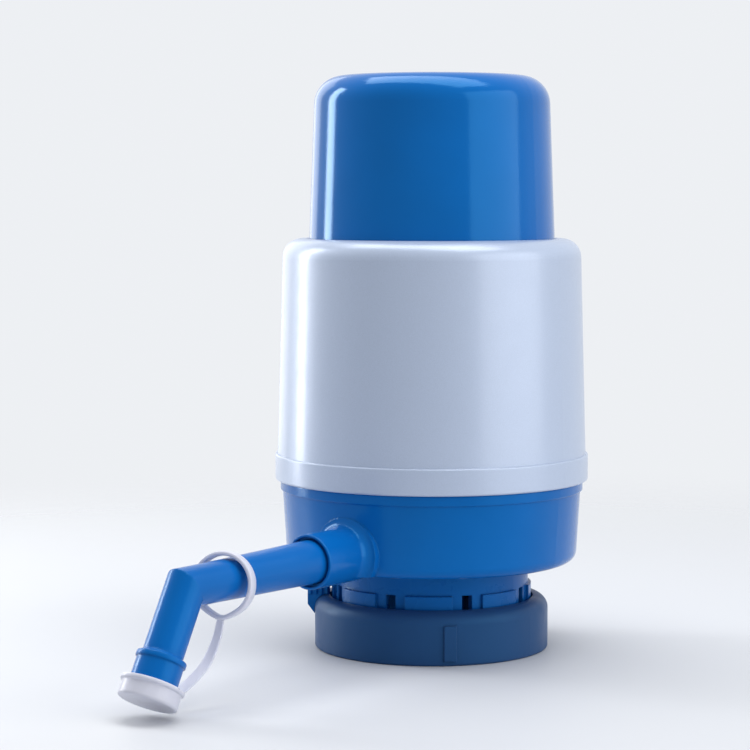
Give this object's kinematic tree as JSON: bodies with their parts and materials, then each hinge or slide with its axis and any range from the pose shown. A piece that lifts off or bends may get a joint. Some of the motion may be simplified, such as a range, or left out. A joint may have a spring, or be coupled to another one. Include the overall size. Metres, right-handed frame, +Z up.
{
  "type": "water jug hand pump",
  "caption": "Hand pump for a large water jug, with a sprung press head, a slotted neck collar with a cam lock ring, and a swivelling spout with a tethered cap.",
  "frame": {"origin": "on the pump axis, in the plane of the lock ring's underside, where the neck of the jug enters", "axes": "+Z up the pump axis towards the press head; the spout points along -Y at rest"},
  "size_m": [0.0998, 0.198, 0.182],
  "materials": {
    "collar_plastic": "moulded blue, semi-gloss",
    "ring_plastic": "moulded dark blue, semi-gloss",
    "base_plastic": "moulded blue, glossy",
    "cap_plastic": "moulded blue, glossy",
    "spout_plastic": "moulded blue, glossy",
    "shell_plastic": "silver-grey moulded plastic with a pearl finish",
    "barrel_plastic": "natural white moulded plastic",
    "bush_plastic": "slippery white moulded plastic",
    "clear_plastic": "milky translucent soft plastic",
    "seal_rubber": "dark rubber",
    "valve_rubber": "soft silicone rubber",
    "screw_steel": "stainless steel",
    "spring_steel": "stainless steel wire"
  },
  "bodies": {
    "housing": {"base_body": "base_plastic", "neck_collar": "collar_plastic", "neck_gasket": "seal_rubber", "collar_screws": "screw_steel", "barrel": "barrel_plastic", "barrel_screws": "screw_steel", "inlet_seal": "seal_rubber", "outlet_seal": "seal_rubber", "inlet_valve": "valve_rubber", "outlet_valve": "valve_rubber", "guide_bush": "bush_plastic", "housing_shell": "shell_plastic", "return_spring": "spring_steel"},
    "press_head": {"press_cap": "cap_plastic", "piston_head": "barrel_plastic", "piston_seal": "seal_rubber", "piston_screws": "screw_steel"},
    "lock_ring": {"lock_ring": "ring_plastic", "thumb_tab": "collar_plastic"},
    "spout": {"spout_tube": "spout_plastic", "spout_seals": "seal_rubber", "cap_tether": "clear_plastic"},
    "spout_cap": {"spout_cap": "clear_plastic"}
  },
  "joints": [
    {"name": "press_stroke", "type": "slide", "parent": "housing", "child": "press_head", "axis": [0, 0, -1], "range_m": [0, 0.04], "stiffness_N_per_m": 395, "springref_m": -0.03, "deforming": ["return_spring"]},
    {"name": "lock_ring_turn", "type": "hinge", "parent": "housing", "child": "lock_ring", "pos_m": [0, 0, 0.0083], "axis": [0, 0, -1], "range_deg": [0, 22.5]},
    {"name": "spout_swivel", "type": "hinge", "parent": "housing", "child": "spout", "pos_m": [0, -0.056, 0.0349], "axis": [0, -1, 0], "continuous": true},
    {"name": "cap_pull", "type": "slide", "parent": "spout", "child": "spout_cap", "axis": [0, -0.4879, -0.8729], "range_m": [0, 0.008], "deforming": ["cap_tether"]}
  ]
}
